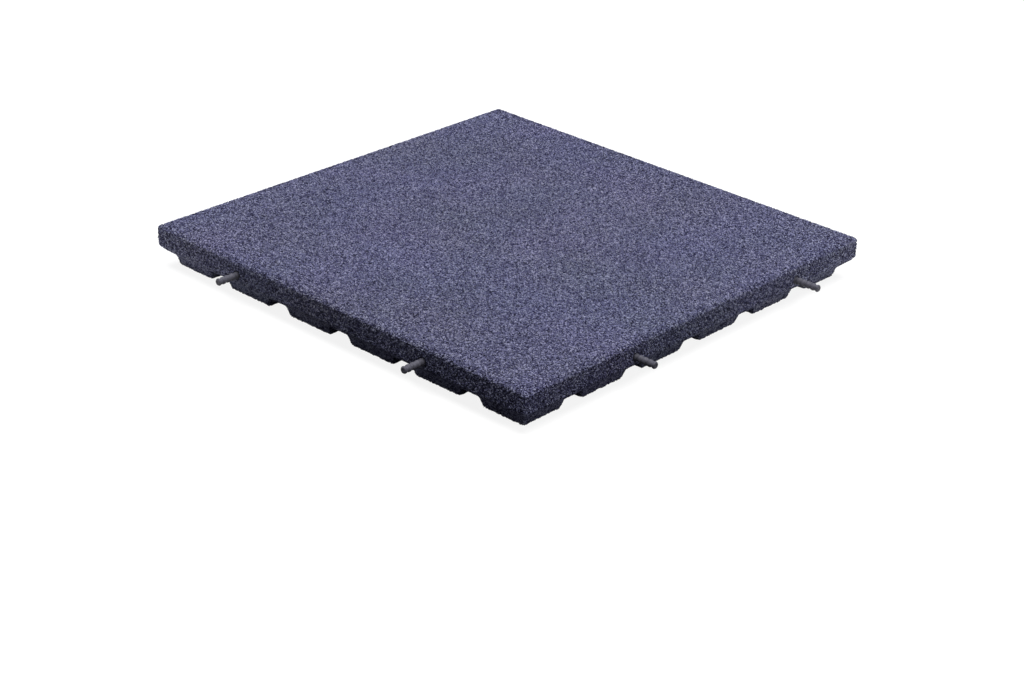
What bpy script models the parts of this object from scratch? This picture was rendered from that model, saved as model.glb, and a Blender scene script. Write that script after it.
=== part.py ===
# Rubber granulate floor tile with feet underneath and four plastic joining pins.
# Metres, +Z up. The origin is the middle of the walking face, and the feet end at -Z.
# Two sides carry the pins (-X and -Y). The other two have the empty sockets that a
# neighbour's pins enter (+X and +Y).

import math

import bmesh
import bpy
from mathutils import Matrix, Vector

# tile body
TILE_SIDE = 0.500
TILE_THICKNESS = 0.045
# the top edge is a wide shoulder that turns down this far, then a tight rounding onto the side
SHOULDER_RADIUS = 0.0080
SHOULDER_TURN = math.radians(55)
SHOULDER_STEPS = 3
EDGE_RADIUS = 0.0015
# the side is upright down to here, then bends in to the underside of the slab
SIDE_HEIGHT = 0.0215
LOWER_BEND_INSET = 0.0020
LOWER_BEND_DEPTH = 0.0270
LOWER_EDGE_INSET = 0.0110
LOWER_STEPS = 3
SLAB_THICKNESS = 0.032
CORNER_RADIUS = 0.0025
CORNER_STEPS = 3

# feet, six by six, with drainage channels between them
CHANNEL_PITCH = 0.0852
CHANNEL_WIDTH = 0.0305
CHANNELS_EACH_WAY = 5
FOOT_INSET = 0.0170
FOOT_FLARE = 0.0060
FOOT_FLARE_PLACES = (0.0, 0.25, 0.50, 0.75, 0.95)
FOOT_FLARE_SWING = 0.12
FOOT_ROOT = 0.0030

# pins and their sockets
PIN_DIAMETER = 0.0075
PIN_LENGTH = 0.0530
PIN_DEPTH_BELOW_TOP = 0.0165
PIN_RIB_COUNT = 9
PIN_RIB_HEIGHT = 0.0004
PIN_TIP_CHAMFER = 0.0012
# each pin's place along its side, and how far it stands out; they are pressed in by hand
PINS_ON_X_SIDE = ((-0.123, 0.0240), (0.130, 0.0235))
PINS_ON_Y_SIDE = ((-0.100, 0.0230), (0.146, 0.0270))
SOCKET_DIAMETER = 0.0082
SOCKET_DEPTH = 0.0310
ROUND_STEPS = 16

RUBBER_COLOUR = (0.114, 0.117, 0.197, 1.0)
RUBBER_ROUGHNESS = 0.95
PLASTIC_COLOUR = (0.098, 0.096, 0.122, 1.0)
PLASTIC_ROUGHNESS = 0.45


def clear_scene():
    for old in list(bpy.data.objects):
        bpy.data.objects.remove(old)


def make_material(name, colour, roughness):
    material = bpy.data.materials.new(name)
    material.use_nodes = True
    shader = material.node_tree.nodes["Principled BSDF"]
    shader.inputs["Base Color"].default_value = colour
    shader.inputs["Roughness"].default_value = roughness
    shader.inputs["Metallic"].default_value = 0.0
    material.diffuse_color = colour
    return material


def make_object(name, bm, collection, material=None):
    mesh = bpy.data.meshes.new(name)
    bmesh.ops.recalc_face_normals(bm, faces=bm.faces)
    bm.to_mesh(mesh)
    bm.free()
    made = bpy.data.objects.new(name, mesh)
    if material is not None:
        mesh.materials.append(material)
    collection.objects.link(made)
    return made


def make_helper(name, bm, collection):
    # a shape that only cuts or adds to another one
    helper = make_object(name, bm, collection)
    helper.hide_render = True
    helper.display_type = "WIRE"
    return helper


def add_outline(bm, low, high, height):
    # level rectangle with rounded corners, as a closed loop of edges; low and high are (x, y)
    radius = CORNER_RADIUS
    centres = [
        (high[0] - radius, high[1] - radius),
        (low[0] + radius, high[1] - radius),
        (low[0] + radius, low[1] + radius),
        (high[0] - radius, low[1] + radius),
    ]
    verts = []
    for corner, (x, y) in enumerate(centres):
        for step in range(CORNER_STEPS + 1):
            turn = (corner + step / CORNER_STEPS) * math.pi / 2
            place = (x + radius * math.cos(turn), y + radius * math.sin(turn), height)
            verts.append(bm.verts.new(place))
    return [bm.edges.new(pair) for pair in zip(verts, verts[1:] + verts[:1])]


def loft(bm, outlines):
    # joins each outline to the next and closes both ends
    for upper, lower in zip(outlines, outlines[1:]):
        bmesh.ops.bridge_loops(bm, edges=upper + lower)
    for end in (outlines[0], outlines[-1]):
        bmesh.ops.edgeloop_fill(bm, edges=end)


def edge_section():
    # inset and depth of the slab's edge, from the walking face round to the underside
    reach = SHOULDER_RADIUS * math.sin(SHOULDER_TURN) + EDGE_RADIUS * (1 - math.sin(SHOULDER_TURN))
    section = []
    for step in range(SHOULDER_STEPS + 1):
        turn = SHOULDER_TURN * step / SHOULDER_STEPS
        section.append((reach - SHOULDER_RADIUS * math.sin(turn), SHOULDER_RADIUS * (1 - math.cos(turn))))
    section.append((0.0, section[-1][1] + EDGE_RADIUS * math.cos(SHOULDER_TURN)))
    for step in range(LOWER_STEPS + 1):
        t = step / LOWER_STEPS
        inset = 2 * t * (1 - t) * LOWER_BEND_INSET + t * t * LOWER_EDGE_INSET
        depth = (1 - t) ** 2 * SIDE_HEIGHT + 2 * t * (1 - t) * LOWER_BEND_DEPTH + t * t * SLAB_THICKNESS
        section.append((inset, depth))
    return section


def slab_shape():
    # the tile's rounded square outline, drawn in by the edge section at each depth
    bm = bmesh.new()
    outlines = []
    for inset, depth in edge_section():
        half = TILE_SIDE / 2 - inset
        outlines.append(add_outline(bm, (-half, -half), (half, half), -depth))
    loft(bm, outlines)
    return bm


def foot_bounds():
    # low and high end of each foot's flat face, along one side of the tile
    outer = TILE_SIDE / 2 - FOOT_INSET
    middle = (CHANNELS_EACH_WAY - 1) / 2
    centres = [(i - middle) * CHANNEL_PITCH for i in range(CHANNELS_EACH_WAY)]
    lows = [-outer] + [c + CHANNEL_WIDTH / 2 for c in centres]
    highs = [c - CHANNEL_WIDTH / 2 for c in centres] + [outer]
    return list(zip(lows, highs))


def foot_shape(x_bounds, y_bounds):
    # one foot: its flat end, then a flare that starts and ends gently, and a root inside the slab
    bm = bmesh.new()
    outlines = []
    for place in FOOT_FLARE_PLACES:
        rise = place - FOOT_FLARE_SWING * math.sin(math.tau * place)
        height = -TILE_THICKNESS + (TILE_THICKNESS - SLAB_THICKNESS) * rise
        outlines.append(add_foot_outline(bm, x_bounds, y_bounds, place * FOOT_FLARE, height))
    root = -SLAB_THICKNESS + FOOT_ROOT
    outlines.append(add_foot_outline(bm, x_bounds, y_bounds, FOOT_FLARE_PLACES[-1] * FOOT_FLARE, root))
    loft(bm, outlines)
    return bm


def add_foot_outline(bm, x_bounds, y_bounds, gap, height):
    # the foot's flat end, widened by the gap all round
    low = (x_bounds[0] - gap, y_bounds[0] - gap)
    high = (x_bounds[1] + gap, y_bounds[1] + gap)
    return add_outline(bm, low, high, height)


def all_feet():
    feet = bmesh.new()
    for x_bounds in foot_bounds():
        for y_bounds in foot_bounds():
            foot = foot_shape(x_bounds, y_bounds)
            mesh = bpy.data.meshes.new("foot")
            foot.to_mesh(mesh)
            foot.free()
            feet.from_mesh(mesh)
            bpy.data.meshes.remove(mesh)
    return feet


def pin_places():
    # where each pin leaves the tile, which way it points and how far it stands out
    half = TILE_SIDE / 2
    level = -PIN_DEPTH_BELOW_TOP
    left = [(Vector((-half, y, level)), Vector((-1.0, 0.0, 0.0)), outside) for y, outside in PINS_ON_X_SIDE]
    front = [(Vector((x, -half, level)), Vector((0.0, -1.0, 0.0)), outside) for x, outside in PINS_ON_Y_SIDE]
    return left + front


def socket_places():
    # every pin's own socket, and the empty one straight across the tile from it
    places = []
    for mouth, outward, _ in pin_places():
        places.append((mouth, outward))
        places.append((mouth - outward * TILE_SIDE, -outward))
    return places


def along(place, direction):
    # turns local +Z to the direction and moves the origin to the place
    return Matrix.Translation(place) @ direction.to_track_quat("Z", "Y").to_matrix().to_4x4()


def all_sockets():
    sockets = bmesh.new()
    length = SOCKET_DEPTH * 2
    for mouth, outward in socket_places():
        bmesh.ops.create_cone(
            sockets,
            cap_ends=True,
            segments=ROUND_STEPS,
            radius1=SOCKET_DIAMETER / 2,
            radius2=SOCKET_DIAMETER / 2,
            depth=length,
            matrix=along(mouth, outward),
        )
    return sockets


def add_boolean(target, helper, operation):
    modifier = target.modifiers.new(operation.title(), "BOOLEAN")
    modifier.operation = operation
    modifier.solver = "EXACT"
    modifier.object = helper


def build_tile_body(parts, helpers, rubber):
    body = make_object("tile_body", slab_shape(), parts, rubber)
    add_boolean(body, make_helper("feet_helper", all_feet(), helpers), "UNION")
    add_boolean(body, make_helper("socket_helper", all_sockets(), helpers), "DIFFERENCE")


def pin_profile():
    # outer side of the pin from its outer end, the origin, down to its inner end, with shallow ribs
    radius = PIN_DIAMETER / 2
    step = (PIN_LENGTH - 2 * PIN_TIP_CHAMFER) / (2 * PIN_RIB_COUNT)
    points = [(0.0, 0.0), (radius - PIN_TIP_CHAMFER, 0.0)]
    for i in range(2 * PIN_RIB_COUNT + 1):
        rib = 0.0 if i % 2 else PIN_RIB_HEIGHT
        points.append((radius - PIN_RIB_HEIGHT + rib, -PIN_TIP_CHAMFER - i * step))
    points += [(radius - PIN_TIP_CHAMFER, -PIN_LENGTH), (0.0, -PIN_LENGTH)]
    return points


def pin_mesh(plastic):
    mesh = bpy.data.meshes.new("joining_pin")
    points = [(x, 0.0, z) for x, z in pin_profile()]
    mesh.from_pydata(points, [(i, i + 1) for i in range(len(points) - 1)], [])
    mesh.materials.append(plastic)
    return mesh


def build_pins(parts, plastic):
    mesh = pin_mesh(plastic)
    for number, (mouth, outward, outside) in enumerate(pin_places(), start=1):
        pin = bpy.data.objects.new(f"joining_pin_{number}", mesh)
        pin.matrix_world = along(mouth + outward * outside, outward)
        parts.objects.link(pin)
        turn = pin.modifiers.new("Turn", "SCREW")
        turn.angle = math.tau
        turn.steps = ROUND_STEPS
        turn.render_steps = ROUND_STEPS
        turn.use_merge_vertices = True
        turn.merge_threshold = 0.0001
        turn.use_smooth_shade = True


def build():
    clear_scene()
    parts = bpy.data.collections.new("rubber_tile")
    helpers = bpy.data.collections.new("helpers")
    bpy.context.scene.collection.children.link(parts)
    bpy.context.scene.collection.children.link(helpers)
    rubber = make_material("rubber_granulate", RUBBER_COLOUR, RUBBER_ROUGHNESS)
    plastic = make_material("pin_plastic", PLASTIC_COLOUR, PLASTIC_ROUGHNESS)
    build_tile_body(parts, helpers, rubber)
    build_pins(parts, plastic)


build()
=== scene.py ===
# Rubber floor tile of bound granulate, with drainage feet underneath and four ribbed plastic pins.
# Metres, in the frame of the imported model: the walking face is z = 0 and the feet end at z = -0.045.

import math

import bpy
import numpy as np
from mathutils import Matrix, Vector


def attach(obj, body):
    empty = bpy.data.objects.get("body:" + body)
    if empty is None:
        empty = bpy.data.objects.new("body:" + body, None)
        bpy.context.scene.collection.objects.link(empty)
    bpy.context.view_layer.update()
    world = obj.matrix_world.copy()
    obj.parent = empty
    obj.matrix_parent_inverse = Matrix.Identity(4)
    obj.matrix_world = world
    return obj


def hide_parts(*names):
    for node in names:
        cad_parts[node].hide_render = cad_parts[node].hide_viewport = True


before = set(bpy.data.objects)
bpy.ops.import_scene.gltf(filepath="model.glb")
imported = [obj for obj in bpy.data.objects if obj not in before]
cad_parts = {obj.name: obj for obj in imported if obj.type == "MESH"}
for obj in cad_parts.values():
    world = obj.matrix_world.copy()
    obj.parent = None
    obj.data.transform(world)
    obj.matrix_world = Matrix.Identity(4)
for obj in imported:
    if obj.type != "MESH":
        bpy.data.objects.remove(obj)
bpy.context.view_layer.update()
print("frame loaded:", ", ".join(sorted(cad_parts)))


def randomOf(cells, seed):
    # one number from 0 to 1 for each whole-number cell: the three numbers are multiplied by large primes,
    # added, and stirred with two bit shifts
    x, y, z = (cells[..., i].astype(np.int64).astype(np.uint64) for i in range(3))
    mixed = x * np.uint64(374761393) + y * np.uint64(668265263) + z * np.uint64(2246822519)
    mixed = mixed + np.uint64(seed * 3266489917)
    mixed = (mixed ^ (mixed >> np.uint64(13))) * np.uint64(1274126177)
    mixed = mixed ^ (mixed >> np.uint64(16))
    return (mixed & np.uint64(0xFFFFFF)).astype(float) / 0xFFFFFF


def softNoise(points, cell, seed):
    # a random number at each corner of a cubic lattice, blended by the weights 3f^2 - 2f^3 of the place
    # in the cube; from 0 to 1
    place = points / cell
    base = np.floor(place)
    share = place - base
    weight = share * share * (3 - 2 * share)
    total = np.zeros(len(points))
    for corner in np.ndindex(2, 2, 2):
        step = np.array(corner)
        total += randomOf(base + step, seed) * np.where(step == 1, weight, 1 - weight).prod(axis=1)
    return total


def grainNoise(points, cell, seed):
    # one random point in each cube of a lattice; 1 at such a point, falling with the squared distance
    # to the nearest one down to 0
    place = points / cell
    base = np.floor(place)
    nearest = np.full(len(points), 9.0)
    for step in np.ndindex(3, 3, 3):
        cube = base + np.array(step) - 1
        middle = cube + np.stack([randomOf(cube, seed + i) for i in range(3)], axis=1)
        nearest = np.minimum(nearest, ((place - middle) ** 2).sum(axis=1))
    return 1 - np.clip(nearest, 0, 1)


def makeMesh(name, points, faceGroups, material, smooth, tone=None):
    # points is n by 3, each group of faces has three or four point numbers a row, and tone is a number for
    # each point
    mesh = bpy.data.meshes.new(name)
    corners = np.concatenate([faces.ravel() for faces in faceGroups]).astype(np.int32)
    sizes = np.concatenate([np.full(len(faces), faces.shape[1]) for faces in faceGroups])
    starts = np.concatenate([[0], np.cumsum(sizes)[:-1]]).astype(np.int32)
    mesh.vertices.add(len(points))
    mesh.vertices.foreach_set("co", points.astype(np.float32).ravel())
    mesh.loops.add(len(corners))
    mesh.loops.foreach_set("vertex_index", corners)
    mesh.polygons.add(len(sizes))
    mesh.polygons.foreach_set("loop_start", starts)
    mesh.polygons.foreach_set("use_smooth", np.full(len(sizes), smooth))
    mesh.update(calc_edges=True)
    if tone is not None:
        mesh.attributes.new("tone", "FLOAT", "POINT").data.foreach_set("value", tone.astype(np.float32))
    mesh.materials.append(material)
    made = bpy.data.objects.new(name, mesh)
    bpy.context.scene.collection.objects.link(made)
    return made


def addNode(tree, kind, inputs=None, **settings):
    # inputs holds either a value or another node's output for each input, by name or number
    node = tree.nodes.new("ShaderNode" + kind)
    for name, value in settings.items():
        setattr(node, name, value)
    for name, value in (inputs or {}).items():
        if isinstance(value, bpy.types.NodeSocket):
            tree.links.new(value, node.inputs[name])
        else:
            node.inputs[name].default_value = value
    return node


def newMaterial(name, roughness, specular):
    # gives the material, its node tree and its shader
    material = bpy.data.materials.new(name)
    material.use_nodes = True
    shader = material.node_tree.nodes["Principled BSDF"]
    shader.inputs["Roughness"].default_value = roughness
    shader.inputs["Specular IOR Level"].default_value = specular
    return material, material.node_tree, shader


def addRamp(tree, factor, stops):
    # stops: place from 0 to 1, then the colour there
    ramp = addNode(tree, "ValToRGB", {"Fac": factor})
    elements = ramp.color_ramp.elements
    while len(elements) < len(stops):
        elements.new(0.5)
    for element, (place, colour) in zip(elements, stops):
        element.position = place
        element.color = (*colour, 1.0)
    return ramp.outputs["Color"]


def mixColours(tree, kind, factor, first, second):
    # first * (1 - factor) + factor * second when kind is MIX, or * (first * second) when it is MULTIPLY
    mix = addNode(tree, "Mix", {0: factor, 6: first, 7: second}, data_type="RGBA", blend_type=kind)
    return mix.outputs[2]


rubberLook = {
    # linear colours of the crumbs, from the darkest to the palest few
    "crumbColours": [
        (0.00, (0.002, 0.002, 0.016)),
        (0.22, (0.015, 0.015, 0.047)),
        (0.50, (0.057, 0.058, 0.115)),
        (0.85, (0.083, 0.085, 0.148)),
        (1.00, (0.125, 0.128, 0.190)),
    ],
    "stir": 0.62,                           # how far smaller grains move a crumb's tone, either way
    # painted light: the rim below the walking face is made a little greyer and less blue than the lit top
    "rimShadedTint": (1.0, 1.01, 0.97, 1.0),
    "rimShadedTintHeights": (-0.0006, -0.0045),       # where the rim's painted shade tint begins, and where it is full
    "bedPaintedShade": (0.34, 0.34, 0.42, 1.0),    # painted shade on the skin seen only between crumbs, as if in their shadow
    "bedPaintedShadeHeights": (-0.0318, -0.0300),       # where that painted shade begins, and where it is full
    "roughness": 0.915,
    "roughnessSwing": 0.075,
    "specular": 0.22,
    "mottleSize": 0.110,
    # shares of red, green and blue in the weakest and the strongest part of the clouds
    "mottle": ((0.93, 0.935, 0.93), (1.07, 1.065, 1.07)),
    "hueDrift": ((0.97, 0.975, 0.93), (1.03, 1.025, 1.04)),
    "grainSize": 0.0021,
    "dustSize": 0.0011,
    "fineSize": 0.0005,
    "domeReach": 0.8,                       # of a skin grain's dome, in grain sizes
    "domeHeight": 2.2,                      # of it, against the pits
    "reliefStrength": 0.55,
    "reliefDepth": 0.00025,
}


def rubberMaterial(name, fromTone):
    # colour: each crumb's own tone through a ramp, times broad clouds and a painted-light tint that makes the
    # rim greyer than the lit walking face; the skin between crumbs is darkened with painted shade down to the
    # slab's
    # lower edge. Relief: fine pits of about half a millimetre, and on the skin a dome on each grain as well.
    look = rubberLook
    material, tree, shader = newMaterial(name, look["roughness"], look["specular"])
    place = addNode(tree, "TexCoord").outputs["Object"]
    pitInputs = {"Vector": place, "Scale": 1 / look["fineSize"], "Detail": 3.0}
    pits = addNode(tree, "TexNoise", pitInputs).outputs["Fac"]
    if fromTone:
        tone = addNode(tree, "Attribute", attribute_name="tone").outputs["Fac"]
    else:
        cells = addNode(tree, "TexVoronoi", {"Vector": place, "Scale": 1 / look["grainSize"]})
        tone = addNode(tree, "SeparateColor", {0: cells.outputs["Color"]}).outputs[0]
    # smaller grains on each crumb stir its tone
    dust = addNode(tree, "TexVoronoi", {"Vector": place, "Scale": 1 / look["dustSize"]})
    dust = addNode(tree, "SeparateColor", {0: dust.outputs["Color"]}).outputs[1]
    stir = addNode(tree, "MapRange", {0: dust, 3: -look["stir"], 4: look["stir"]}).outputs[0]
    stirred = addNode(tree, "Math", {0: tone, 1: stir}, operation="ADD").outputs[0]
    colour = addRamp(tree, stirred, look["crumbColours"])

    # clouds of lighter and darker rubber, and others that are a little bluer or greyer
    cloudInputs = {"Vector": place, "Scale": 1 / look["mottleSize"], "Detail": 4.0, "Roughness": 0.50}
    clouds = addNode(tree, "TexNoise", cloudInputs)
    alike = addNode(tree, "CombineXYZ", {channel: clouds.outputs["Fac"] for channel in range(3)}).outputs[0]
    for source, (low, high) in ((alike, look["mottle"]), (clouds.outputs["Color"], look["hueDrift"])):
        ends = {6: source, 7: (0.3, 0.3, 0.3), 8: (0.7, 0.7, 0.7), 9: low, 10: high}
        share = addNode(tree, "MapRange", ends, data_type="FLOAT_VECTOR").outputs[1]
        colour = mixColours(tree, "MULTIPLY", 1.0, colour, share)

    height = addNode(tree, "SeparateXYZ", {0: place}).outputs["Z"]
    # painted light: the rim is tinted greyer than the lit walking face, as if shaded
    start, full = look["rimShadedTintHeights"]
    rim = addNode(tree, "MapRange", {0: height, 1: start, 2: full}).outputs[0]
    colour = mixColours(tree, "MULTIPLY", rim, colour, look["rimShadedTint"])
    if not fromTone:
        # painted shade: the skin on the top and rim, seen only between crumbs, is darkened as if in their
        # shadow
        start, full = look["bedPaintedShadeHeights"]
        bedPaintedShadeMask = addNode(tree, "MapRange", {0: height, 1: start, 2: full}).outputs[0]
        colour = mixColours(tree, "MULTIPLY", bedPaintedShadeMask, colour, look["bedPaintedShade"])
    tree.links.new(colour, shader.inputs["Base Color"])

    middle, swing = look["roughness"], look["roughnessSwing"]
    rough = addNode(tree, "MapRange", {0: pits, 3: middle - swing, 4: middle + swing}).outputs[0]
    tree.links.new(rough, shader.inputs["Roughness"])
    relief = pits
    if not fromTone:
        ends = {0: cells.outputs["Distance"], 1: 0.0, 2: look["domeReach"], 3: look["domeHeight"], 4: 0.0}
        dome = addNode(tree, "MapRange", ends).outputs[0]
        relief = addNode(tree, "Math", {0: pits, 1: dome}, operation="ADD").outputs[0]
    bump = {"Strength": look["reliefStrength"], "Distance": look["reliefDepth"], "Height": relief}
    tree.links.new(addNode(tree, "Bump", bump).outputs["Normal"], shader.inputs["Normal"])
    return material


# tile body: one closed skin of a top sheet, a rim strip and an underside sheet
tileShape = {
    "half": 0.250,
    "bottom": -0.045,
    "cornerRadius": 0.0025,  # of the tile and of each foot, seen from above
    "shoulderRadius": 0.0080,
    "shoulderTurn": 55.0,    # degrees that the shoulder turns down before the tighter corner under it
    "edgeRadius": 0.0015,
    "uprightEnd": -0.0215,
    "slabBottom": -0.032,
    "slopeBend": (0.0020, -0.0270),  # inset and height that the cut-back lower edge bends toward
    "slabInset": 0.0110,
    "footInset": 0.0170,
    "channelPitch": 0.0852,
    "channelWidth": 0.0305,
    "channels": 5,           # each way
    "footFlare": 0.0060,
    "flareSwing": 0.12,
    "cells": 220,        # along one side; the top sheet, under the crumbs, has half as many
    "roundRows": 6,
    "uprightRows": 17,
    "slopeRows": 8,
    "topGap": 0.0022,    # between the top sheet and the rim strip's first row
    "crumbBed": 0.0009,  # the skin lies this far under the crumbs' tops, and up to bedRoughness more
    "bedRoughness": 0.0006,
    "grainCell": 0.0036,
    "grainSeed": 11,
    "smallCell": 0.0015,
    "smallSeed": 23,
    "grainDepth": 0.0009,   # of the underside's grains, and of the small ones on them
    "smallDepth": 0.0003,
}

# sockets: side number (0 is +X, then counter-clockwise seen from above) and place along that side
socketShape = {
    "places": [
        (2, 0.123), (2, -0.130), (3, -0.100), (3, 0.146),    # these hold the pins
        (0, -0.123), (0, 0.130), (1, 0.100), (1, -0.146),    # these are empty
    ],
    "level": -0.0165,
    "reach": 7,                                        # cells from a socket's middle to the plain rim
    "radii": (0.0, 0.0020, 0.0041, 0.0041, 0.00435),   # by ring of cells, from the middle
    "depths": (0.0310, 0.0310, 0.0309, 0.0011, 0.0),
    "clear": 0.0052,                                   # no crumb lies nearer to a socket's axis
}


def sideDirections(side):
    # outward and sideways direction of side k: (cos, sin) of k quarter turns, and the same a quarter turn on
    out = np.array([math.cos(side * math.pi / 2), math.sin(side * math.pi / 2), 0])
    return out, np.array([-out[1], out[0], 0])


def outline(side, share, half, radius):
    # square with rounded corners by arc length: share runs from -1 to 1 between the middles of a side's
    # two corners, straight up to half - radius and then turning by (arc - straight) / radius about the
    # corner's centre; side k is the first side turned by k quarter turns. Gives the point and its outward
    # direction.
    straight = half - radius
    arc = np.abs(share) * (straight + radius * math.pi / 4)
    turn = np.clip((arc - straight) / np.maximum(radius, 1e-9), 0, math.pi / 4)
    sign = np.sign(share)
    out = straight + radius * np.cos(turn)
    along = sign * (np.minimum(arc, straight) + radius * np.sin(turn))
    cosine, sine = np.cos(side * math.pi / 2), np.sin(side * math.pi / 2)
    point = np.stack([out * cosine - along * sine, out * sine + along * cosine], axis=-1)
    ahead, aside = np.cos(turn), sign * np.sin(turn)
    outward = np.stack([ahead * cosine - aside * sine, ahead * sine + aside * cosine], axis=-1)
    return point, outward


def rimSection(shape):
    # section of the rim: a wide arc down from the walking face, a tight one to the upright, the upright, and
    # the bend (1-t)^2 a + 2t(1-t) b + t^2 c back to the slab's underside. An arc moves by r (sin b - sin a)
    # outward and r (cos b - cos a) up between two turns. Gives length along the section, inset and height.
    limit = math.radians(shape["shoulderTurn"])
    wide, tight = shape["shoulderRadius"], shape["edgeRadius"]
    first, second = np.linspace(0, limit, 50), np.linspace(limit, math.pi / 2, 20)[1:]
    out = np.concatenate([
        wide * np.sin(first),
        wide * math.sin(limit) + tight * (np.sin(second) - math.sin(limit)),
    ])
    height = np.concatenate([
        wide * (np.cos(first) - 1),
        wide * (math.cos(limit) - 1) + tight * (np.cos(second) - math.cos(limit)),
    ])
    inset = out[-1] - out
    t = np.linspace(0, 1, 80)
    bendInset, bendHeight = shape["slopeBend"]
    slopeInset = 2 * t * (1 - t) * bendInset + t * t * shape["slabInset"]
    slopeHeight = (1 - t) ** 2 * shape["uprightEnd"] + 2 * t * (1 - t) * bendHeight
    slopeHeight = slopeHeight + t * t * shape["slabBottom"]
    inset = np.concatenate([inset, slopeInset])
    height = np.concatenate([height, slopeHeight])
    length = np.concatenate([[0], np.cumsum(np.hypot(np.diff(inset), np.diff(height)))])
    return length, inset, height


def shoulderEnd(shape):
    # how far in the walking face ends, and the height where the upright begins
    limit = math.radians(shape["shoulderTurn"])
    wide, tight = shape["shoulderRadius"], shape["edgeRadius"]
    reach = wide * math.sin(limit) + tight * (1 - math.sin(limit))
    return reach, wide * (math.cos(limit) - 1) - tight * math.cos(limit)


def rimPoint(side, share, length, shape):
    # the section carried round the outline: at each length the outline shrinks by the inset, and the
    # direction that the skin faces is square to the section, turned to the outline's own
    table, inset, height = rimSection(shape)
    step = 2e-4
    at = np.interp(length, table, inset)
    z = np.interp(length, table, height)
    slopeIn = np.interp(length + step, table, inset) - np.interp(length - step, table, inset)
    slopeUp = np.interp(length + step, table, height) - np.interp(length - step, table, height)
    size = np.hypot(slopeIn, slopeUp)
    flat, outward = outline(side, share, shape["half"] - at, shape["cornerRadius"])
    point = np.concatenate([flat, z[..., None]], axis=-1)
    facing = np.concatenate([outward * (-slopeUp / size)[..., None], (-slopeIn / size)[..., None]], axis=-1)
    return point, facing


def footGap(x, y, shape):
    # how far the flat end of the nearest foot would have to grow all round to reach the point, its corner
    # radius r kept: max(dx, dy), or near a corner (dx + dy + 2r - sqrt(2r^2 - (dx - dy)^2)) / 2
    outer = shape["half"] - shape["footInset"]
    middles = (np.arange(shape["channels"]) - (shape["channels"] - 1) / 2) * shape["channelPitch"]
    low = np.concatenate([[-outer], middles + shape["channelWidth"] / 2])
    high = np.concatenate([middles - shape["channelWidth"] / 2, [outer]])
    radius = shape["cornerRadius"]
    dx = (np.abs(x[..., None] - (low + high) / 2) - (high - low) / 2).min(axis=-1)
    dy = (np.abs(y[..., None] - (low + high) / 2) - (high - low) / 2).min(axis=-1)
    rounded = (dx + dy + 2 * radius - np.sqrt(np.maximum(2 * radius ** 2 - (dx - dy) ** 2, 0))) / 2
    return np.where(np.abs(dx - dy) < radius, rounded, np.maximum(dx, dy))


def undersideHeight(x, y, shape):
    # the feet's ends at the bottom, rising to the slab over the flare: t - swing * sin(2 pi t) of the way
    t = np.clip(footGap(x, y, shape) / shape["footFlare"], 0, 1)
    rise = t - shape["flareSwing"] * np.sin(2 * math.pi * t)
    return shape["bottom"] + (shape["slabBottom"] - shape["bottom"]) * rise


def undersidePoint(x, y, shape):
    # the height above, with the direction it faces from its slope to both sides, downward
    step = 4e-4
    z = undersideHeight(x, y, shape)
    dx = (undersideHeight(x + step, y, shape) - undersideHeight(x - step, y, shape)) / (2 * step)
    dy = (undersideHeight(x, y + step, shape) - undersideHeight(x, y - step, shape)) / (2 * step)
    facing = np.stack([dx, dy, -np.ones_like(z)], axis=-1)
    return np.stack([x, y, z], axis=-1), facing / np.linalg.norm(facing, axis=-1, keepdims=True)


def ringSheet(cells, half, radius):
    # square sheet in rings: a grid point's ring is max(|u|, |v|), and the ring is the outline times that
    line = np.linspace(-1, 1, cells + 1)
    u, v = np.meshgrid(line, line, indexing="ij")
    ring = np.maximum(np.abs(u), np.abs(v))
    side = np.where(np.abs(u) >= np.abs(v), np.where(u > 0, 0, 2), np.where(v > 0, 1, 3))
    share = np.choose(side, [v, -u, -v, u]) / np.maximum(ring, 1e-9)
    flat, _ = outline(side, share, half, radius)
    flat = (flat * ring[..., None]).reshape(-1, 2)
    first = (np.arange(cells)[:, None] * (cells + 1) + np.arange(cells)).ravel()
    faces = np.stack([first, first + cells + 1, first + cells + 2, first + 1], axis=1)
    steps = np.arange(cells)
    edge = np.concatenate([
        cells * (cells + 1) + steps,
        (cells - steps) * (cells + 1) + cells,
        cells - steps,
        steps * (cells + 1),
    ])
    return flat, faces, edge


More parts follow.
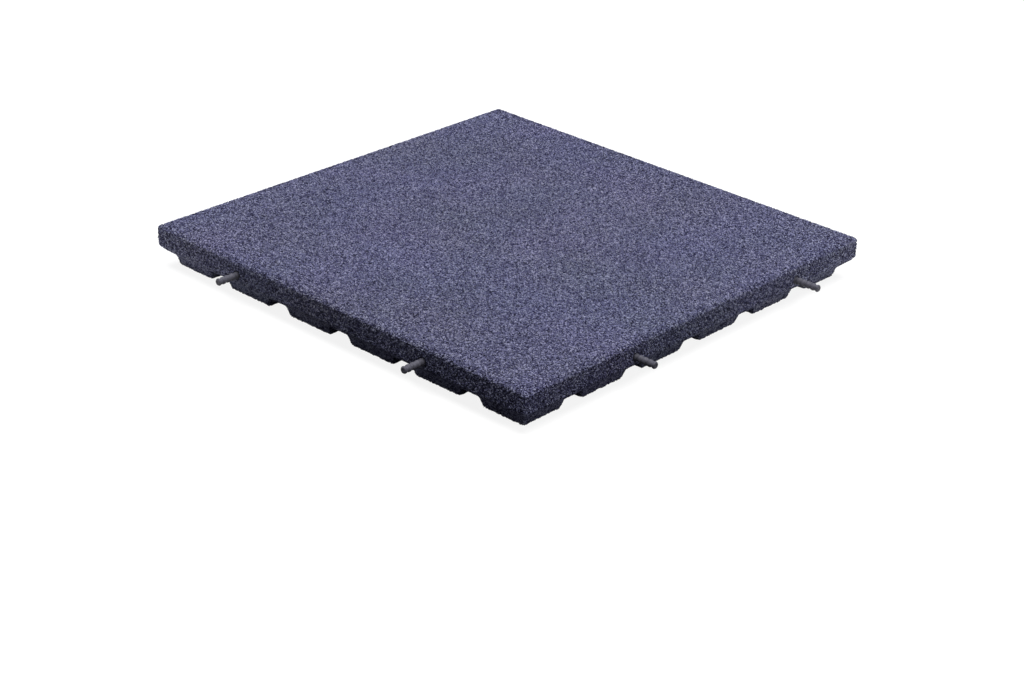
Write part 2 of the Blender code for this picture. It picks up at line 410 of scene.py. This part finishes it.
def cutSockets(points, facing, shape):
    # cells round a socket are pulled into rings: the square ring k of cells becomes a circle with the radius
    # and depth of that ring, and outside the mouth it returns to the plain rim in even steps. Gives the
    # points that lie inside a socket.
    sockets = socketShape
    columns, rows = points.shape[:2]
    inHole = np.zeros((columns, rows), bool)
    reach = sockets["reach"]
    p, q = np.meshgrid(np.arange(-reach, reach + 1), np.arange(-reach, reach + 1), indexing="ij")
    ring = np.maximum(np.abs(p), np.abs(q))
    wide = np.abs(p) >= np.abs(q)
    ratio = np.where(wide, q / np.where(p == 0, 1, p), p / np.where(q == 0, 1, q))
    angle = np.where(wide, math.pi / 4 * ratio, math.pi / 2 - math.pi / 4 * ratio)
    angle = angle + np.where(np.where(wide, p, q) < 0, math.pi, 0)
    mouth = len(sockets["radii"]) - 1
    radius = np.interp(ring, np.arange(mouth + 1), sockets["radii"])
    depth = np.interp(ring, np.arange(mouth + 1), sockets["depths"])
    back = (np.clip(ring - mouth, 0, None) / (reach - mouth))[..., None]
    halfArc = shape["half"] - shape["cornerRadius"] + shape["cornerRadius"] * math.pi / 4
    row = int(np.argmin(np.abs(points[0, :, 2] - sockets["level"])))
    around = np.arange(-reach, reach + 1)
    for side, along in sockets["places"]:
        column = side * shape["cells"] + round((along / halfArc + 1) * shape["cells"] / 2)
        block = np.ix_((column + around) % columns, row + around)
        out, beside = sideDirections(side)
        middle = out * shape["half"] + beside * along + np.array([0, 0, sockets["level"]])
        circle = middle + (radius * np.cos(angle))[..., None] * beside - depth[..., None] * out
        circle = circle - (radius * np.sin(angle))[..., None] * np.array([0, 0, 1])
        points[block] = circle * (1 - back) + points[block] * back
        facing[block] = out * (1 - back) + facing[block] * back
        inHole[block] = ring < mouth
    return inHole


def buildBody(material):
    # rings of the rim by place along the outline and length down the section, closed above by the top sheet
    # and below by the underside sheet; every point then sinks against the way it faces, by its grain
    shape = tileShape
    half, cells = shape["half"], shape["cells"]
    length, _, height = rimSection(shape)
    shoulder, uprightTop = shoulderEnd(shape)
    uprightStart = np.interp(-uprightTop, -height, length)
    uprightLength = uprightTop - shape["uprightEnd"]
    rows = np.concatenate([
        np.linspace(0, uprightStart, shape["roundRows"] + 1)[:-1],
        uprightStart + np.linspace(0, uprightLength, shape["uprightRows"] + 1)[:-1],
        np.linspace(uprightStart + uprightLength, length[-1], shape["slopeRows"] + 1)[:-1],
    ])
    columns = np.arange(4 * cells)
    side, share = columns // cells, -1 + 2 * (columns % cells) / cells
    lengths = np.broadcast_to(rows, (4 * cells, len(rows)))
    rim, rimFacing = rimPoint(side[:, None], share[:, None], lengths, shape)
    inHole = cutSockets(rim, rimFacing, shape)

    topHalf = half - shoulder - shape["topGap"]
    topFlat, topFaces, topEdge = ringSheet(cells // 2, topHalf, shape["cornerRadius"])
    top = np.concatenate([topFlat, np.zeros((len(topFlat), 1))], axis=1)
    underFlat, underFaces, underEdge = ringSheet(cells, half - shape["slabInset"], shape["cornerRadius"])
    under, underFacing = undersidePoint(underFlat[:, 0], underFlat[:, 1], shape)

    points = np.concatenate([top, rim.reshape(-1, 3), under])
    topFacing = np.broadcast_to([0.0, 0.0, 1.0], top.shape)
    facing = np.concatenate([topFacing, rimFacing.reshape(-1, 3), underFacing])
    rimStart, underStart = len(top), len(top) + rim.size // 3

    # the underside's grains are in the skin itself; elsewhere it is the bed between the crumbs, darkened by
    # painted shade
    coarse = grainNoise(points, shape["grainCell"], shape["grainSeed"])
    small = softNoise(points, shape["smallCell"], shape["smallSeed"])
    sink = shape["crumbBed"] + shape["bedRoughness"] * (1 - coarse) * small
    grains = shape["grainDepth"] * (1 - coarse) + shape["smallDepth"] * small
    sink[underStart:] = grains[underStart:]
    sink[rimStart:underStart][inHole.ravel()] = 0
    points = points - facing * sink[:, None]

    number = rimStart + columns[:, None] * len(rows) + np.arange(len(rows))
    number = np.concatenate([number, (underStart + underEdge)[:, None]], axis=1)
    after = np.roll(number, -1, axis=0)
    rimFaces = np.stack([number[:, :-1], number[:, 1:], after[:, 1:], after[:, :-1]], axis=-1).reshape(-1, 4)
    # two rim cells meet one cell of the coarser top sheet
    inner, innerNext = topEdge, np.roll(topEdge, -1)
    start, middle, end = number[0::2, 0], number[1::2, 0], np.roll(number[0::2, 0], -1)
    joins = np.concatenate([
        np.stack([inner, start, middle], axis=1),
        np.stack([inner, middle, innerNext], axis=1),
        np.stack([innerNext, middle, end], axis=1),
    ])
    faces = [np.concatenate([topFaces, rimFaces, underStart + underFaces[:, ::-1]]), joins]
    points = np.clip(points, [-half, -half, shape["bottom"]], [half, half, 0.0])
    return makeMesh("tileBodySkin", points, faces, material, True)


# crumbs: the granulate itself, pressed flat against the mould on their outer sides
crumbShape = {
    "pitch": 0.0020,
    "size": 0.00120,        # half a crumb's length, before its own spread
    "spread": (0.62, 1.30),
    "proportions": (1.25, 1.0, 0.78),
    "stretch": (0.75, 1.25),    # of each half axis
    "stray": 0.14,          # how far a point leaves its axis, in crumb sizes
    "depth": 0.00085,       # the middle of a crumb below the mould, before its own spread
    "depthSpread": (0.75, 1.30),
    "wallShare": 0.42,      # of a foot wall's grid, how much is kept where the wall lies level
    "rest": 0.00045,        # the most that a crumb stops short of the mould
    # the two shapes of the crumbs' spread of tones: lower is more mixed, and a higher first one is paler
    "toneSpread": {"topCrumbs": (3.2, 2.3), "rimCrumbs": (1.3, 1.2)},
    "perPiece": 24000,      # the most crumbs in a piece
    "seed": 5,
}


def crumbPoints(centres, facing, random):
    # lumpy eight-sided crumbs: six points on three crossed axes, each pulled in or out at random, turned by a
    # random unit quaternion, then whatever lies past the mould's surface is pressed back along the surface's
    # own direction
    shape = crumbShape
    count = len(centres)
    quaternion = random.normal(size=(count, 4))
    w, x, y, z = (quaternion / np.linalg.norm(quaternion, axis=1, keepdims=True)).T
    turn = np.stack([
        1 - 2 * (y * y + z * z), 2 * (x * y - w * z), 2 * (x * z + w * y),
        2 * (x * y + w * z), 1 - 2 * (x * x + z * z), 2 * (y * z - w * x),
        2 * (x * z - w * y), 2 * (y * z + w * x), 1 - 2 * (x * x + y * y),
    ], axis=1).reshape(count, 3, 3)
    axes = np.concatenate([np.diag(shape["proportions"]), -np.diag(shape["proportions"])])
    low, high = shape["spread"]
    size = shape["size"] * random.uniform(low, high, (count, 1, 1))
    local = axes * size * random.uniform(*shape["stretch"], (count, 6, 1))
    local = local + random.normal(0, shape["stray"], (count, 6, 3)) * size
    offset = np.einsum("nij,nkj->nki", turn, local)
    depth = shape["depth"] * random.uniform(*shape["depthSpread"], (count, 1))
    rest = shape["rest"] * random.uniform(0, 1, (count, 1)) ** 2
    above = np.einsum("nkj,nj->nk", offset, facing) - depth
    offset = offset - np.maximum(above + rest, 0)[..., None] * facing[:, None]
    return centres[:, None] - facing[:, None] * depth[:, None] + offset


def crumbFaces(count):
    # the eight faces between three crossed axes; points 0 to 2 are the axes' near ends, 3 to 5 their far ends
    faces = np.array([[0, 1, 2], [1, 3, 2], [3, 4, 2], [4, 0, 2], [1, 0, 5], [3, 1, 5], [4, 3, 5], [0, 4, 5]])
    return (np.arange(count)[:, None, None] * 6 + faces).reshape(-1, 3)


def jitteredGrid(across, down, random):
    # the middle of each cell, moved at random by up to a share of a cell both ways; both from 0 to 1
    share = 0.45
    u, v = np.meshgrid(np.arange(across), np.arange(down), indexing="ij")
    u = (u + 0.5 + random.uniform(-share, share, u.shape)) / across
    v = (v + 0.5 + random.uniform(-share, share, v.shape)) / down
    return u.ravel(), v.ravel()


def clearOfSockets(points):
    # true where a point is far enough from every socket's axis; a point that is less than 0.2 m out toward
    # the socket's side isn't near its mouth
    clear = np.ones(len(points), bool)
    for side, along in socketShape["places"]:
        out, beside = sideDirections(side)
        away = np.hypot(points @ beside - along, points[:, 2] - socketShape["level"])
        clear &= (away > socketShape["clear"]) | (points @ out < 0.2)
    return clear


def buildCrumbs(material):
    # crumbs on even grids with each one moved at random: over the walking face, over the rim's section, and
    # over the outer feet's outer walls, where fewer are kept so that they lie as close as on the rim
    shape, tile = crumbShape, tileShape
    random = np.random.default_rng(shape["seed"])
    pitch = shape["pitch"]

    flatHalf = tile["half"] - shoulderEnd(tile)[0]
    count = round(2 * flatHalf / pitch)
    u, v = jitteredGrid(count, count, random)
    topCentres = np.stack([(2 * u - 1) * flatHalf, (2 * v - 1) * flatHalf, np.zeros(len(u))], axis=1)
    topFacing = np.broadcast_to([0.0, 0.0, 1.0], topCentres.shape)

    rimLength = rimSection(tile)[0][-1]
    around = 4 * round(2 * tile["half"] / pitch)
    u, v = jitteredGrid(around, round(rimLength / pitch), random)
    side = np.floor(u * 4).astype(int)
    rimCentres, rimFacing = rimPoint(side, (u * 4 - side) * 2 - 1, v * rimLength, tile)

    wallLength = math.hypot(tile["footFlare"], tile["slabBottom"] - tile["bottom"])
    u, v = jitteredGrid(around, round(wallLength / pitch), random)
    side = np.floor(u * 4).astype(int)
    inset = tile["slabInset"] + v * tile["footFlare"]
    flat, _ = outline(side, (u * 4 - side) * 2 - 1, tile["half"] - inset, tile["cornerRadius"])
    wallCentres, wallFacing = undersidePoint(flat[:, 0], flat[:, 1], tile)
    level = np.maximum(np.abs(wallFacing[:, 2]), shape["wallShare"])    # 1 where the wall is level ground
    keep = random.uniform(size=len(u)) < shape["wallShare"] / level
    wallCentres, wallFacing = wallCentres[keep], wallFacing[keep]

    pieces = []
    for name, centres, facing in (
        ("topCrumbs", topCentres, topFacing),
        ("rimCrumbs", np.concatenate([rimCentres, wallCentres]), np.concatenate([rimFacing, wallFacing])),
    ):
        keep = clearOfSockets(centres)
        centres, facing = centres[keep], facing[keep]
        tone = random.beta(*shape["toneSpread"][name], len(centres))
        points = crumbPoints(centres, facing, random)
        points = np.clip(points, [-tile["half"]] * 2 + [tile["bottom"]], [tile["half"]] * 2 + [0.0])
        fromLeft = np.argsort(centres[:, 0], kind="stable")
        groups = np.array_split(fromLeft, math.ceil(len(centres) / shape["perPiece"]))
        for number, group in enumerate(groups, start=1):
            pieces.append(makeMesh(
                f"{name}_{number}", points[group].reshape(-1, 3), [crumbFaces(len(group))], material, False,
                np.repeat(tone[group], 6),
            ))
    return pieces


# joining pins: moulded, ribbed, dull grey
pinShape = {
    "radius": 0.00368,
    "length": 0.0530,
    "ribs": 9,
    "ribHeight": 0.00090,
    "chamfer": 0.0012,
    "seam": 0.00007,      # height of the parting seam down both sides
    "seamWidth": 0.09,    # its half width, as the sine of the angle it takes up
    "dimple": 0.0004,     # depth of the hollow in the outer end
    "dimpleRings": (0.35, 0.55),      # its bottom and its mouth, as shares of the end's flat
    "tipBevel": (0.0005, 0.0002),     # how far out and back the end's flat is bevelled
    "around": 56,
    "rows": 108,
    # place of the mouth, the direction that the pin points, and how far it stands out
    "places": [
        ((-0.250, -0.123, -0.0165), (-1, 0, 0), 0.0240),
        ((-0.250, 0.130, -0.0165), (-1, 0, 0), 0.0235),
        ((-0.100, -0.250, -0.0165), (0, -1, 0), 0.0230),
        ((0.146, -0.250, -0.0165), (0, -1, 0), 0.0270),
    ],
}

pinLook = {
    "colours": [(0.0, (0.028, 0.028, 0.037)), (0.55, (0.043, 0.042, 0.055)), (1.0, (0.062, 0.061, 0.077))],
    "cloudScale": 260.0,
    "scuffScale": 1900.0,
    "scuffShare": 0.35,      # of the scuffs in the mix, against the clouds
    "roughness": 0.62,
    "roughnessSwing": 0.12,
    "specular": 0.12,
    "reliefStrength": 0.30,
    "reliefDepth": 0.00008,
}


def pinMaterial():
    # moulded plastic: cloudy grey with fine scuffs, and a dull, uneven gloss
    look = pinLook
    material, tree, shader = newMaterial("pinPlastic", look["roughness"], look["specular"])
    place = addNode(tree, "TexCoord").outputs["Object"]
    cloudInputs = {"Vector": place, "Scale": look["cloudScale"], "Detail": 4.0, "Roughness": 0.6}
    cloud = addNode(tree, "TexNoise", cloudInputs).outputs["Fac"]
    scuffInputs = {"Vector": place, "Scale": look["scuffScale"], "Detail": 2.0}
    scuff = addNode(tree, "TexNoise", scuffInputs).outputs["Fac"]
    mixed = addNode(tree, "Mix", {0: look["scuffShare"], 2: cloud, 3: scuff}, data_type="FLOAT").outputs[0]
    spread = addNode(tree, "MapRange", {0: mixed, 1: 0.3, 2: 0.7}).outputs[0]
    tree.links.new(addRamp(tree, spread, look["colours"]), shader.inputs["Base Color"])
    middle, swing = look["roughness"], look["roughnessSwing"]
    rough = addNode(tree, "MapRange", {0: scuff, 3: middle - swing, 4: middle + swing}).outputs[0]
    tree.links.new(rough, shader.inputs["Roughness"])
    bump = {"Strength": look["reliefStrength"], "Distance": look["reliefDepth"], "Height": mixed}
    tree.links.new(addNode(tree, "Bump", bump).outputs["Normal"], shader.inputs["Normal"])
    return material


def buildPin(number, place, direction, outside, material):
    # surface of turning: along the shank the radius is r - h (0.5 - 0.5 cos(2 pi n t))^2 for n ribs, with t
    # from 0 to 1. A narrow bell of the angle, exp(-(sin a / width)^2), adds a seam at both sides. The outer
    # end has a chamfer, a bevelled flat and a shallow dimple, and the inner one a chamfer and a flat.
    shape = pinShape
    total = shape["length"] - 2 * shape["chamfer"]
    t = np.linspace(0, 1, shape["rows"])
    wave = 0.5 - 0.5 * np.cos(2 * math.pi * shape["ribs"] * t)
    shank = shape["radius"] - shape["ribHeight"] * wave ** 2
    shankAt = outside - shape["chamfer"] - total * t
    flat = shape["radius"] - shape["chamfer"]
    dimpleBottom, dimpleMouth = shape["dimpleRings"]
    bevelOut, bevelBack = shape["tipBevel"]
    tipRadii = [flat * dimpleBottom, flat * dimpleMouth, flat, flat + bevelOut]
    radius = np.concatenate([tipRadii, shank, [flat, flat * 0.5]])
    tip, end = outside, outside - shape["length"]
    at = np.concatenate([[tip - shape["dimple"], tip, tip, tip - bevelBack], shankAt, [end, end]])
    angle = np.arange(shape["around"]) * 2 * math.pi / shape["around"]
    seam = np.zeros((len(radius), 1))
    seam[4:-2] = shape["seam"]
    nearSeam = np.exp(-(np.sin(angle) / shape["seamWidth"]) ** 2)
    wide = radius[:, None] + seam * nearSeam
    out = np.array(direction, float)
    beside = np.array([-out[1], out[0], 0.0])
    up = np.array([0.0, 0.0, 1.0])
    points = np.array(place) + at[:, None, None] * out
    points = points + (wide * np.cos(angle))[..., None] * beside + (wide * np.sin(angle))[..., None] * up
    poles = np.array(place) + np.array([[tip - shape["dimple"]], [end]]) * out
    points = np.concatenate([points.reshape(-1, 3), poles])
    rings, around = wide.shape
    index = np.arange(rings * around).reshape(rings, around)
    after = np.roll(index, -1, axis=1)
    walls = np.stack([index[:-1], index[1:], after[1:], after[:-1]], axis=-1).reshape(-1, 4)
    tipPole, endPole = np.full(around, rings * around), np.full(around, rings * around + 1)
    caps = np.concatenate([
        np.stack([tipPole, index[0], after[0]], axis=1),
        np.stack([endPole, after[-1], index[-1]], axis=1),
    ])
    return makeMesh(f"joiningPin_{number}", points, [walls, caps], material, True)


crumbRubber = rubberMaterial("rubberCrumbs", True)
skinRubber = rubberMaterial("rubberSkin", False)

body = buildBody(skinRubber)
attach(body, "root")
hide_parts("tile_body")
print("tile body skin:", len(body.data.polygons), "faces")

for piece in buildCrumbs(crumbRubber):
    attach(piece, "root")
    print("crumbs:", piece.name, len(piece.data.polygons), "faces")

plastic = pinMaterial()
for number, (place, direction, outside) in enumerate(pinShape["places"], start=1):
    pin = buildPin(number, place, direction, outside, plastic)
    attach(pin, "root")
    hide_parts(f"joining_pin_{number}")
print("joining pins built")


stageSettings = {
    "floorLevel": -0.0451,
    "floorHalf": 14.0,
    "floorColour": (0.93, 0.93, 0.93, 1.0),
    "floorGlow": (0.86, 1.0),                # share of the seen floor that no shadow darkens, near and far
    "farFloor": (0.6, 1.8),                  # distances from the tile between which it changes
    "farBounce": (0.06, 0.06, 0.064, 1.0),   # what the floor gives back to the tile's sides
    "nearBounce": (0.92, 0.92, 0.84, 1.0),   # and what it gives back near the two outer corners
    "paleMiddle": 0.03,                      # the floor is wholly pale within this of those corners
    # places of those corners, and how far each one's pale floor reaches
    "bouncePlaces": [((-0.31, 0.31, 0.0), 0.34), ((0.31, -0.31, 0.0), 0.45)],
    "skyColour": (0.94, 0.97, 1.0, 1.0),
    "skyStrength": 0.12,
    "lensMm": 78.86,
    "azimuth": -0.8438031,
    "elevation": 0.4598574,
    "roll": 0.0416674,
    "distance": 2.0277110,
    "aim": (-0.1844166, -0.1722901, 0.0),
}

# place of each soft light, what it points at, its size and its power
softLights = {
    "overhead": ((0.15, 0.0, 2.6), (0.0, 0.0, 0.0), (3.2, 2.8), 268.0),
    "right": ((-0.10, -1.50, 0.70), (0.0, -0.25, 0.0), (0.9, 0.6), 9.0),
    "left": ((-0.85, 0.62, 0.30), (-0.25, 0.22, 0.0), (0.4, 0.4), 2.2),
}


def buildFloor():
    # level grid; the camera sees a plain pale floor, partly lit of itself, and the tile gets the bounce
    # colour, which fades from near to far with a smooth step of the distance to each corner
    settings = stageSettings
    half, level = settings["floorHalf"], settings["floorLevel"]
    lines = 9
    line = np.linspace(-half, half, lines)
    x, y = np.meshgrid(line, line, indexing="ij")
    points = np.stack([x, y, np.full_like(x, level)], axis=-1).reshape(-1, 3)
    first = (np.arange(lines - 1)[:, None] * lines + np.arange(lines - 1)).ravel()
    faces = np.stack([first, first + lines, first + lines + 1, first + 1], axis=1)
    material, tree, shader = newMaterial("paleFloor", 0.85, 0.2)
    place = addNode(tree, "TexCoord").outputs["Object"]
    nearness = []
    for corner, reach in settings["bouncePlaces"]:
        away = addNode(tree, "VectorMath", {0: place, 1: corner}, operation="DISTANCE").outputs["Value"]
        ends = {0: away, 1: settings["paleMiddle"], 2: reach, 3: 1.0, 4: 0.0}
        nearness.append(addNode(tree, "MapRange", ends, interpolation_type="SMOOTHSTEP").outputs[0])
    near = addNode(tree, "Math", {0: nearness[0], 1: nearness[1]}, operation="MAXIMUM").outputs[0]
    bounce = mixColours(tree, "MIX", near, settings["farBounce"], settings["nearBounce"])
    tree.links.new(bounce, shader.inputs["Base Color"])
    lit = addNode(tree, "BsdfDiffuse", {"Color": settings["floorColour"]})
    glow = addNode(tree, "Emission", {"Color": (1.0, 1.0, 1.0, 1.0)})
    (nearGlow, farGlow), (nearEnd, farStart) = settings["floorGlow"], settings["farFloor"]
    away = addNode(tree, "VectorMath", {0: place}, operation="LENGTH").outputs["Value"]
    ends = {0: away, 1: nearEnd, 2: farStart, 3: nearGlow, 4: farGlow}
    share = addNode(tree, "MapRange", ends).outputs[0]
    seen = addNode(tree, "MixShader", {0: share, 1: lit.outputs[0], 2: glow.outputs[0]})
    rays = addNode(tree, "LightPath").outputs["Is Camera Ray"]
    surface = addNode(tree, "MixShader", {0: rays, 1: shader.outputs[0], 2: seen.outputs[0]})
    tree.links.new(surface.outputs[0], tree.nodes["Material Output"].inputs["Surface"])
    floor = makeMesh("floor", points, [faces], material, True)


def buildLights():
    # each lamp looks from its place toward its aim
    for name, (place, aim, size, power) in softLights.items():
        data = bpy.data.lights.new(name, "AREA")
        data.shape = "RECTANGLE"
        data.size, data.size_y = size
        data.energy = power
        lamp = bpy.data.objects.new(name, data)
        lamp.visible_camera = False
        lamp.location = place
        toward = Vector(aim) - Vector(place)
        lamp.rotation_euler = toward.to_track_quat("-Z", "Y").to_euler()
        bpy.context.scene.collection.objects.link(lamp)


def buildSky():
    # a white surround as seen, and a weaker one as light
    settings = stageSettings
    world = bpy.data.worlds.new("studio")
    world.use_nodes = True
    tree = world.node_tree
    tree.nodes.clear()
    seen = addNode(tree, "Background", {"Color": (1.0, 1.0, 1.0, 1.0), "Strength": 1.0})
    light = addNode(tree, "Background", {"Color": settings["skyColour"], "Strength": settings["skyStrength"]})
    rays = addNode(tree, "LightPath").outputs["Is Camera Ray"]
    mix = addNode(tree, "MixShader", {0: rays, 1: light.outputs[0], 2: seen.outputs[0]})
    output = addNode(tree, "OutputWorld", {"Surface": mix.outputs[0]})
    output.is_active_output = True
    bpy.context.scene.world = world


def buildCamera():
    # the camera looks back along the direction given by azimuth and elevation, and is rolled about it
    settings = stageSettings
    azimuth, elevation = settings["azimuth"], settings["elevation"]
    level = math.cos(elevation)
    back = Vector((math.sin(azimuth) * level, -math.cos(azimuth) * level, math.sin(elevation)))
    right = (-back).cross(Vector((0, 0, 1))).normalized()
    up = right.cross(-back)
    cosine, sine = math.cos(settings["roll"]), math.sin(settings["roll"])
    right, up = cosine * right + sine * up, cosine * up - sine * right
    data = bpy.data.cameras.new("camera")
    data.lens = settings["lensMm"]
    data.sensor_width = 36.0
    data.clip_start, data.clip_end = 0.05, 60.0
    camera = bpy.data.objects.new("camera", data)
    turn = Matrix((right, up, back)).transposed().to_4x4()
    place = Vector(settings["aim"]) + back * settings["distance"]
    camera.matrix_world = Matrix.Translation(place) @ turn
    bpy.context.scene.collection.objects.link(camera)
    bpy.context.scene.camera = camera


buildFloor()
buildLights()
buildSky()
buildCamera()
bpy.context.scene.view_settings.view_transform = "Standard"
print("floor, lights and camera placed")
